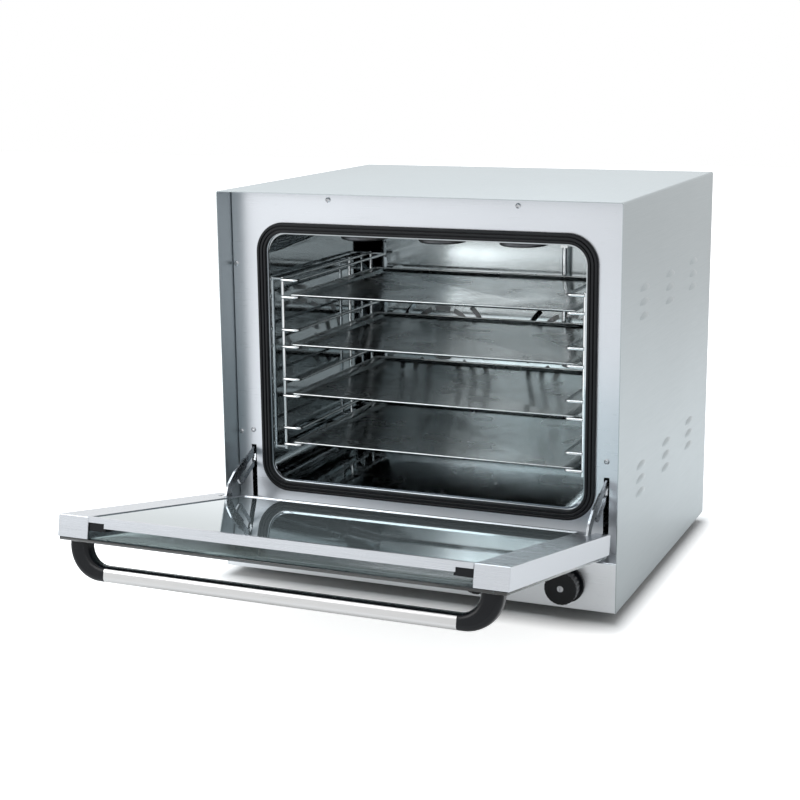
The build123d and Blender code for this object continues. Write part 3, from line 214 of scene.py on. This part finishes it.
cover_sheet = brushed("cover_sheet", (0.375, 0.415, 0.43), 0.34, "Y")
frame_sheet = brushed("frame_sheet", (0.575, 0.60, 0.635), 0.30, "X")
# The control panel's base colour is lighter than the other sheets': painted light that makes up
# for the door's shade over the panel.
panel_sheet_painted_light = brushed("panel_sheet_painted_light", (0.74, 0.765, 0.79), 0.30, "X")
door_sheet = brushed("door_sheet", (0.53, 0.555, 0.59), 0.26, "X")
liner_sheet = polished("liner_sheet", (0.50, 0.54, 0.56), 0.06, 5e-4)
baffle_sheet = polished("baffle_sheet", (0.48, 0.52, 0.53), 0.16, 4e-4)
tray_sheet = polished("tray_sheet", (0.52, 0.545, 0.55), 0.21, 1.2e-4, 9.0)
rack_wire = plated("rack_wire", (0.72, 0.74, 0.75), 0.10)
zinc_plate = plated("zinc_plate", (0.34, 0.36, 0.38), 0.24)
screw_steel = plated("screw_steel", (0.50, 0.51, 0.53), 0.22)
sleeve_steel = brushed("sleeve_steel", (0.53, 0.53, 0.53), 0.30, "X", 2e-6)
spindle_steel = plated("spindle_steel", (0.46, 0.47, 0.49), 0.24)
mirror_pane = polished("mirror_pane", (0.43, 0.51, 0.53), 0.02, 2e-5, 3.0, metallic=0.8)
gasket_rubber = moulded("gasket_rubber", (0.008, 0.009, 0.011), 0.36, specular=0.22)
foot_rubber = moulded("foot_rubber", (0.015, 0.015, 0.015), 0.62)
handle_plastic = moulded("handle_plastic", (0.004, 0.005, 0.007), 0.24, 2500.0, 2e-6, 0.22)
knob_plastic = moulded("knob_plastic", (0.005, 0.006, 0.008), 0.2, 2500.0, 3e-6, 0.28)
switch_plastic = moulded("switch_plastic", (0.06, 0.06, 0.065), 0.5)
lamp_lens = moulded("lamp_lens", (0.55, 0.12, 0.06), 0.18)
motor_enamel = moulded("motor_enamel", (0.09, 0.095, 0.105), 0.5, 900.0, 4e-5)
terminal_ceramic = moulded("terminal_ceramic", (0.76, 0.73, 0.66), 0.6, 700.0, 3e-5)
fan_sheet = polished("fan_sheet", (0.62, 0.63, 0.64), 0.3, 2e-4, 20.0)
element_sheath = heated_tube()
wool = mineral_wool()
pane_tinted = tinted_pane()

node_finish = {
    "outer_cover": cover_sheet, "rear_panel": cover_sheet, "base_pan": cover_sheet,
    "front_frame": frame_sheet, "control_panel": panel_sheet_painted_light, "cavity_liner": liner_sheet,
    "fan_baffle": baffle_sheet, "element_hanger": baffle_sheet, "door_gasket": gasket_rubber,
    "rack_left": rack_wire, "rack_right": rack_wire, "grill_element": element_sheath,
    "ring_element_left": element_sheath, "ring_element_right": element_sheath,
    "motor_left": motor_enamel, "motor_right": motor_enamel,
    "thermostat_body": switch_plastic, "timer_body": switch_plastic,
    "thermostat_bulb": rack_wire, "indicator_lamps": lamp_lens,
    "terminal_block": terminal_ceramic, "cable_gland": switch_plastic,
    "foot_front_left": foot_rubber, "foot_front_right": foot_rubber,
    "foot_rear_left": foot_rubber, "foot_rear_right": foot_rubber,
    "hinge_housing_left": zinc_plate, "hinge_housing_right": zinc_plate,
    "hinge_pins": zinc_plate, "hinge_springs": zinc_plate, "frame_screws": screw_steel,
    "cover_screws": screw_steel, "insulation": wool, "door_channel_left": door_sheet,
    "door_channel_right": door_sheet, "door_inner_glass": mirror_pane,
    "door_outer_glass": pane_tinted, "door_rail": door_sheet, "door_hinge_rail": door_sheet,
    "glass_blocks": handle_plastic, "handle_core": handle_plastic,
    "handle_sleeve": sleeve_steel, "handle_screws": screw_steel,
    "hinge_lever_left": zinc_plate, "hinge_lever_right": zinc_plate, "stay_pins": zinc_plate,
    "stay_left": zinc_plate, "stay_right": zinc_plate, "thermostat_knob": knob_plastic,
    "timer_knob": knob_plastic, "thermostat_spindle": spindle_steel,
    "timer_spindle": spindle_steel, "tray_1": tray_sheet, "tray_2": tray_sheet,
    "tray_3": tray_sheet, "tray_4": tray_sheet, "fan_wheel_left": fan_sheet,
    "fan_wheel_right": fan_sheet, "fan_shaft_left": spindle_steel,
    "fan_shaft_right": spindle_steel,
}
for name, finish in node_finish.items():
    mesh = nodes[name].data
    mesh.materials.clear()
    mesh.materials.append(finish)

# Pieces grown by geometry nodes.
class Growth:
    """A geometry node tree with named sizes, run once on a few starting points."""

    def __init__(self, name, **sizes):
        self.name = name
        self.tree = bpy.data.node_groups.new(name, "GeometryNodeTree")
        face = self.tree.interface
        face.new_socket("Geometry", in_out="INPUT", socket_type="NodeSocketGeometry")
        self.sizes = {}
        for label, value in sizes.items():
            kind = "NodeSocketInt" if isinstance(value, int) else "NodeSocketFloat"
            socket = face.new_socket(label, in_out="INPUT", socket_type=kind)
            self.sizes[socket.identifier] = value
        face.new_socket("Geometry", in_out="OUTPUT", socket_type="NodeSocketGeometry")
        self.start = self.tree.nodes.new("NodeGroupInput").outputs
        self.end = self.tree.nodes.new("NodeGroupOutput").inputs

    def node(self, kind, links=(), **settings):
        """A node with its settings, and its inputs by name: sockets are linked, values set."""
        made = self.tree.nodes.new(kind)
        for key, value in settings.items():
            setattr(made, key, value)
        for socket, source in dict(links).items():
            if isinstance(source, bpy.types.NodeSocket):
                self.tree.links.new(source, made.inputs[socket])
            else:
                made.inputs[socket].default_value = source
        return made

    def result(self, points, shape, rotation, material):
        """The shape at every point, made one plain mesh of that material."""
        placed = self.node(
            "GeometryNodeInstanceOnPoints",
            {"Points": self.start["Geometry"], "Instance": shape, "Rotation": rotation},
        )
        whole = self.node("GeometryNodeRealizeInstances", {"Geometry": placed.outputs[0]})
        final = self.node(
            "GeometryNodeSetMaterial", {"Geometry": whole.outputs[0], "Material": material}
        )
        self.tree.links.new(final.outputs[0], self.end["Geometry"])
        seeds = bpy.data.meshes.new(self.name + "_points")
        seeds.from_pydata(points, [], [])
        holder = bpy.data.objects.new(self.name + "_points", seeds)
        bpy.context.scene.collection.objects.link(holder)
        modifier = holder.modifiers.new(self.name, "NODES")
        modifier.node_group = self.tree
        for identifier, value in self.sizes.items():
            modifier[identifier] = value
        graph = bpy.context.evaluated_depsgraph_get()
        mesh = bpy.data.meshes.new_from_object(holder.evaluated_get(graph))
        bpy.data.objects.remove(holder)
        made = bpy.data.objects.new(self.name, mesh)
        bpy.context.scene.collection.objects.link(made)
        return made


def crossed_screws(name, places, facing, material):
    """Pan-head screws with crossed slots, their heads towards facing (-1 is the front)."""
    growth = Growth(
        name, head_radius=0.0036, head_height=0.0022, shank_radius=0.002, shank_length=0.008,
        slot_width=0.0009, slot_depth=0.0012, turn_seed=7,
    )
    size = growth.start

    def moved(geometry, z):
        offset = growth.node("ShaderNodeCombineXYZ", {"Z": z})
        return growth.node(
            "GeometryNodeTransform", {"Geometry": geometry, "Translation": offset.outputs[0]}
        ).outputs[0]

    def half(value, factor=0.5):
        return growth.node(
            "ShaderNodeMath", {0: value, 1: factor}, operation="MULTIPLY"
        ).outputs[0]

    crown = growth.node("GeometryNodeMeshCone", {
        "Vertices": 28, "Radius Bottom": size["head_radius"],
        "Radius Top": half(size["head_radius"], 0.62), "Depth": half(size["head_height"]),
    }).outputs["Mesh"]
    rim = growth.node("GeometryNodeMeshCylinder", {
        "Vertices": 28, "Radius": size["head_radius"], "Depth": half(size["head_height"]),
    }).outputs["Mesh"]
    shank = growth.node("GeometryNodeMeshCylinder", {
        "Vertices": 16, "Radius": size["shank_radius"], "Depth": size["shank_length"],
    }).outputs["Mesh"]
    blades = []
    for axes in (("X", "Y"), ("Y", "X")):
        extent = growth.node("ShaderNodeCombineXYZ", {
            axes[0]: half(size["head_radius"], 1.2), axes[1]: size["slot_width"],
            "Z": half(size["slot_depth"], 2.0),
        })
        blades.append(moved(
            growth.node("GeometryNodeMeshCube", {"Size": extent.outputs[0]}).outputs["Mesh"],
            size["head_height"],
        ))
    body = growth.node("GeometryNodeMeshBoolean", operation="UNION")
    body.solver = "EXACT"
    for part in (
        moved(crown, half(size["head_height"])), moved(rim, half(size["head_height"], 0.25)),
        moved(shank, half(size["shank_length"], -0.48)),
    ):
        growth.tree.links.new(part, body.inputs["Mesh 2"])
    slotted = growth.node("GeometryNodeMeshBoolean", operation="DIFFERENCE")
    slotted.solver = "EXACT"
    growth.tree.links.new(body.outputs[0], slotted.inputs["Mesh 1"])
    for blade in blades:
        growth.tree.links.new(blade, slotted.inputs["Mesh 2"])
    spin = growth.node(
        "FunctionNodeRandomValue",
        {"Min": (0, 0, 0), "Max": (0, 0, pi / 2), "Seed": size["turn_seed"]},
        data_type="FLOAT_VECTOR",
    )
    lay = growth.node("FunctionNodeRotateEuler", {
        "Rotation": spin.outputs[0], "Rotate By": (-facing * pi / 2, 0, 0),
    })
    made = growth.result(places, slotted.outputs[0], lay.outputs[0], material)
    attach(made, "root")
    return made


def coil_springs(name, places, length, material):
    """Close-wound springs lying along Y from each place."""
    growth = Growth(
        name, mean_radius=0.00295, wire_radius=0.00045, turns=62, length=length
    )
    size = growth.start
    coil = growth.node("GeometryNodeCurveSpiral", {
        "Resolution": 14, "Rotations": size["turns"], "Start Radius": size["mean_radius"],
        "End Radius": size["mean_radius"], "Height": size["length"],
    })
    section = growth.node(
        "GeometryNodeCurvePrimitiveCircle", {"Resolution": 6, "Radius": size["wire_radius"]}
    )
    wire = growth.node("GeometryNodeCurveToMesh", {
        "Curve": coil.outputs[0], "Profile Curve": section.outputs[0], "Fill Caps": True,
    })
    smooth = growth.node("GeometryNodeSetShadeSmooth", {"Geometry": wire.outputs[0]})
    made = growth.result(places, smooth.outputs[0], (-pi / 2, 0, 0), material)
    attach(made, "root")
    return made


SCREW_PLACES = [
    (side * x, z)
    for side in (-1, 1)
    for x, z in ((0.141, 0.5578), (0.290, 0.211), (0.290, 0.462), (0.270, 0.215))
]
REAR_SCREW_PLACES = [
    (side * x, z)
    for side in (-1, 1)
    for x, z in (
        (0.180, 0.5613), (0.290, 0.105), (0.290, 0.315), (0.290, 0.515), (0.180, 0.0225)
    )
]
frame_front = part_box("front_frame")[0][1]
rear_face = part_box("rear_panel")[1][1]
front_screws = crossed_screws(
    "front_cross_screws", [(x, frame_front, z) for x, z in SCREW_PLACES], -1, screw_steel
)
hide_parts("frame_screws")
rear_screws = crossed_screws(
    "rear_cross_screws", [(x, rear_face, z) for x, z in REAR_SCREW_PLACES], 1, screw_steel
)
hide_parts("cover_screws")

spring_low, spring_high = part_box("hinge_springs")
spring_z = (spring_low[2] + spring_high[2]) / 2
spring_x = spring_high[0] - 0.0034
springs = coil_springs(
    "coil_springs", [(x, spring_low[1], spring_z) for x in (-spring_x, spring_x)],
    spring_high[1] - spring_low[1], zinc_plate,
)
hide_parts("hinge_springs")


# The trays.
def rounded_ring(shape, middle, half_x, half_y, corner, z, steps=6):
    """Vertices of a rounded rectangle around a middle point, at height z."""
    ring = []
    for turn, (x, y) in enumerate(((1, 1), (-1, 1), (-1, -1), (1, -1))):
        for step in range(steps + 1):
            angle = pi / 2 * (turn + step / steps)
            ring.append(shape.verts.new((
                middle[0] + x * (half_x - corner) + corner * cos(angle),
                middle[1] + y * (half_y - corner) + corner * sin(angle),
                z,
            )))
    return ring


def pressed_tray(name, node, material):
    """A shallow pan with a rolled rim, a ledge and soft slopes, for one tray's place."""
    low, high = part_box(node)
    middle = ((low[0] + high[0]) / 2, (low[1] + high[1]) / 2)
    half_x, half_y = (high[0] - low[0]) / 2, (high[1] - low[1]) / 2
    rim, bead, wall = high[2], 0.0011, 0.0009
    ledge = rim - 0.0012
    side_ledge, end_ledge = 0.018, 0.008
    slope_width, slope_drop = 0.007, 0.004
    section = []
    for step in range(10):
        angle = radians(-60 + step * 30)
        section.append((bead - bead * cos(angle), 0.0, rim - bead + bead * sin(angle)))
    slope = [
        (share, ledge - slope_drop * (3 * share**2 - 2 * share**3))
        for share in [step / 8 for step in range(9)]
    ]
    top = [(2.4 * bead, 0.0, ledge)] + [(None, share, z) for share, z in slope]
    under = [(None, share, z - wall) for share, z in reversed(slope)] + [
        (2.4 * bead, 0.0, ledge - wall)
    ]
    shape = bmesh.new()
    rings = []
    for inset, share, z in section + top + under:
        inset_x = side_ledge + share * slope_width - 0.001 if inset is None else inset
        inset_y = end_ledge + share * slope_width - 0.001 if inset is None else inset
        corner = 0.0105 - 0.004 * share if inset is None else max(0.0051 - inset, 0.0015)
        rings.append(rounded_ring(shape, middle, half_x - inset_x, half_y - inset_y, corner, z))
    count = len(rings[0])
    floor_top = len(section) + len(top) - 1
    for i in range(len(rings)):
        if i == floor_top:
            shape.faces.new(rings[i])
            shape.faces.new(rings[i + 1])
            continue
        this, after = rings[i], rings[(i + 1) % len(rings)]
        for j in range(count):
            k = (j + 1) % count
            shape.faces.new((this[j], this[k], after[k], after[j]))
    bmesh.ops.recalc_face_normals(shape, faces=shape.faces)
    mesh = bpy.data.meshes.new(name)
    for face in shape.faces:
        face.smooth = True
    shape.to_mesh(mesh)
    shape.free()
    mesh.set_sharp_from_angle(angle=radians(50))
    mesh.materials.append(material)
    made = bpy.data.objects.new(name, mesh)
    bpy.context.scene.collection.objects.link(made)
    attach(made, node)
    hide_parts(node)


for level in range(1, 5):
    pressed_tray(f"pressed_tray_{level}", f"tray_{level}", tray_sheet)


# The outer pane.
def shrunk_copy(name, node, body, gap, material):
    """A piece a hair smaller than its node, so that clear glass isn't flush with metal."""
    shape = bmesh.new()
    shape.from_mesh(nodes[node].data)
    bmesh.ops.remove_doubles(shape, verts=shape.verts, dist=1e-6)
    shape.normal_update()
    for vertex, inward in [(vertex, -vertex.normal) for vertex in shape.verts]:
        vertex.co += inward * gap
    mesh = bpy.data.meshes.new(name)
    shape.to_mesh(mesh)
    shape.free()
    mesh.set_sharp_from_angle(angle=radians(30))
    mesh.materials.append(material)
    made = bpy.data.objects.new(name, mesh)
    bpy.context.scene.collection.objects.link(made)
    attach(made, body)
    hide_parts(node)


shrunk_copy("clear_pane", "door_outer_glass", "door", PANE_GAP, pane_tinted)

# The camera, at the photo's view.
camera_place = Vector((0.85162, -2.10430, 0.77480))
yaw, pitch, roll = radians(22.971), radians(12.357), radians(-0.557)
level_right = Vector((cos(yaw), sin(yaw), 0))
forward = Vector((-sin(yaw), cos(yaw), 0)) * cos(pitch) - Vector((0, 0, sin(pitch)))
level_up = level_right.cross(forward)
right = level_right * cos(roll) + level_up * sin(roll)
up = level_up * cos(roll) - level_right * sin(roll)
lens = bpy.data.cameras.new("camera")
lens.lens = 73.66
lens.sensor_width = 36.0
lens.clip_start = 0.05
lens.clip_end = 50.0
camera = bpy.data.objects.new("camera", lens)
camera.matrix_world = Matrix(
    [[right[i], up[i], -forward[i], camera_place[i]] for i in range(3)] + [[0, 0, 0, 1]]
)
bpy.context.scene.collection.objects.link(camera)
bpy.context.scene.camera = camera


# The studio.
def lamp(name, place, target, size, power, colour=(1.0, 1.0, 1.0)):
    light = bpy.data.lights.new(name, "AREA")
    light.shape = "SQUARE"
    light.size = size
    light.energy = power
    light.color = colour
    made = bpy.data.objects.new(name, light)
    made.location = place
    made.rotation_euler = (Vector(target) - Vector(place)).to_track_quat("-Z", "Y").to_euler()
    bpy.context.scene.collection.objects.link(made)
    return made


def background():
    """White to the camera and in metal and glass, dimmer as a source of light."""
    world = bpy.data.worlds.new("studio")
    bpy.context.scene.world = world
    world.use_nodes = True
    tree = world.node_tree
    shader = tree.nodes["Background"]
    shader.inputs["Color"].default_value = (1.0, 1.0, 1.0, 1.0)
    path = tree.nodes.new("ShaderNodeLightPath")
    strongest = path.outputs["Is Camera Ray"]
    for ray in ("Is Glossy Ray", "Is Transmission Ray"):
        larger = tree.nodes.new("ShaderNodeMath")
        larger.operation = "MAXIMUM"
        tree.links.new(strongest, larger.inputs[0])
        tree.links.new(path.outputs[ray], larger.inputs[1])
        strongest = larger.outputs[0]
    level = tree.nodes.new("ShaderNodeMapRange")
    level.inputs["To Min"].default_value = 0.6
    level.inputs["To Max"].default_value = 1.0
    tree.links.new(strongest, level.inputs["Value"])
    tree.links.new(level.outputs["Result"], shader.inputs["Strength"])


def floor_material():
    """Matt white whose glow is nil over the oven's footprint and rises away from it: a painted
    contact shadow round the oven, and white far off, where it meets the backdrop.
    """
    finish = Finish("studio_floor", (0.72, 0.72, 0.72), 0.0, 0.9)
    finish.vary_roughness(finish.noise(2.0), 0.85, 0.95)
    finish.set("Specular IOR Level", 0.1)
    finish.set("Emission Color", (1, 1, 1, 1))
    size = [high - low for low, high in zip(*CABINET_FOOTPRINT)]
    middle = [(high + low) / 2 for low, high in zip(*CABINET_FOOTPRINT)]
    offset = finish.node("ShaderNodeVectorMath", operation="SUBTRACT")
    finish.link(finish.place, offset.inputs[0])
    offset.inputs[1].default_value = (*middle, 0.0)
    sides = finish.node("ShaderNodeVectorMath", operation="ABSOLUTE")
    finish.link(offset.outputs[0], sides.inputs[0])
    outside = finish.node("ShaderNodeVectorMath", operation="SUBTRACT")
    finish.link(sides.outputs[0], outside.inputs[0])
    outside.inputs[1].default_value = (size[0] / 2, size[1] / 2, 0.0)
    kept = finish.node("ShaderNodeVectorMath", operation="MAXIMUM")
    finish.link(outside.outputs[0], kept.inputs[0])
    tighter = finish.node("ShaderNodeVectorMath", operation="MULTIPLY")
    finish.link(kept.outputs[0], tighter.inputs[0])
    tighter.inputs[1].default_value = (SIDE_SHADOW_SQUEEZE, 1.0, 1.0)
    away = finish.node("ShaderNodeVectorMath", operation="LENGTH")
    finish.link(tighter.outputs[0], away.inputs[0])
    # Painted contact shadow: the glow climbs from nil at the footprint's edge over
    # SHADOW_REACH, tighter at the sides.
    near = finish.spread(away.outputs["Value"], 0.0, FLOOR_GLOW, 0.0, SHADOW_REACH)
    far = finish.spread(away.outputs["Value"], 0.0, 1.0 - FLOOR_GLOW, SHADOW_REACH, GLOW_REACH)
    total = finish.node("ShaderNodeMath", operation="ADD")
    finish.link(near, total.inputs[0])
    finish.link(far, total.inputs[1])
    path = finish.node("ShaderNodeLightPath")
    mirrored = finish.node("ShaderNodeMath", operation="MAXIMUM")
    finish.link(path.outputs["Is Glossy Ray"], mirrored.inputs[0])
    finish.link(path.outputs["Is Transmission Ray"], mirrored.inputs[1])
    rays = finish.node("ShaderNodeMath", operation="MULTIPLY_ADD")
    finish.link(mirrored.outputs[0], rays.inputs[0])
    rays.inputs[1].default_value = FLOOR_MIRRORED
    finish.link(path.outputs["Is Camera Ray"], rays.inputs[2])
    own = finish.node("ShaderNodeMath", operation="MULTIPLY")
    finish.link(total.outputs[0], own.inputs[0])
    finish.link(rays.outputs[0], own.inputs[1])
    finish.link(own.outputs[0], finish.shader.inputs["Emission Strength"])
    return finish.material


background()
floor_mesh = bpy.data.meshes.new("floor")
shape = bmesh.new()
bmesh.ops.create_grid(shape, x_segments=1, y_segments=1, size=8.0)
shape.to_mesh(floor_mesh)
shape.free()
floor_mesh.materials.append(floor_material())
floor = bpy.data.objects.new("floor", floor_mesh)
bpy.context.scene.collection.objects.link(floor)

lamp("top_softbox", (-0.3, 0.5, 2.2), (0, 0.2, 0.5), 2.4, 56, (0.88, 0.95, 1.0))
lamp("front_softbox", (-1.6, -2.4, 1.5), (0, 0, 0.25), 1.6, 30)

bpy.context.scene.view_settings.view_transform = "Standard"
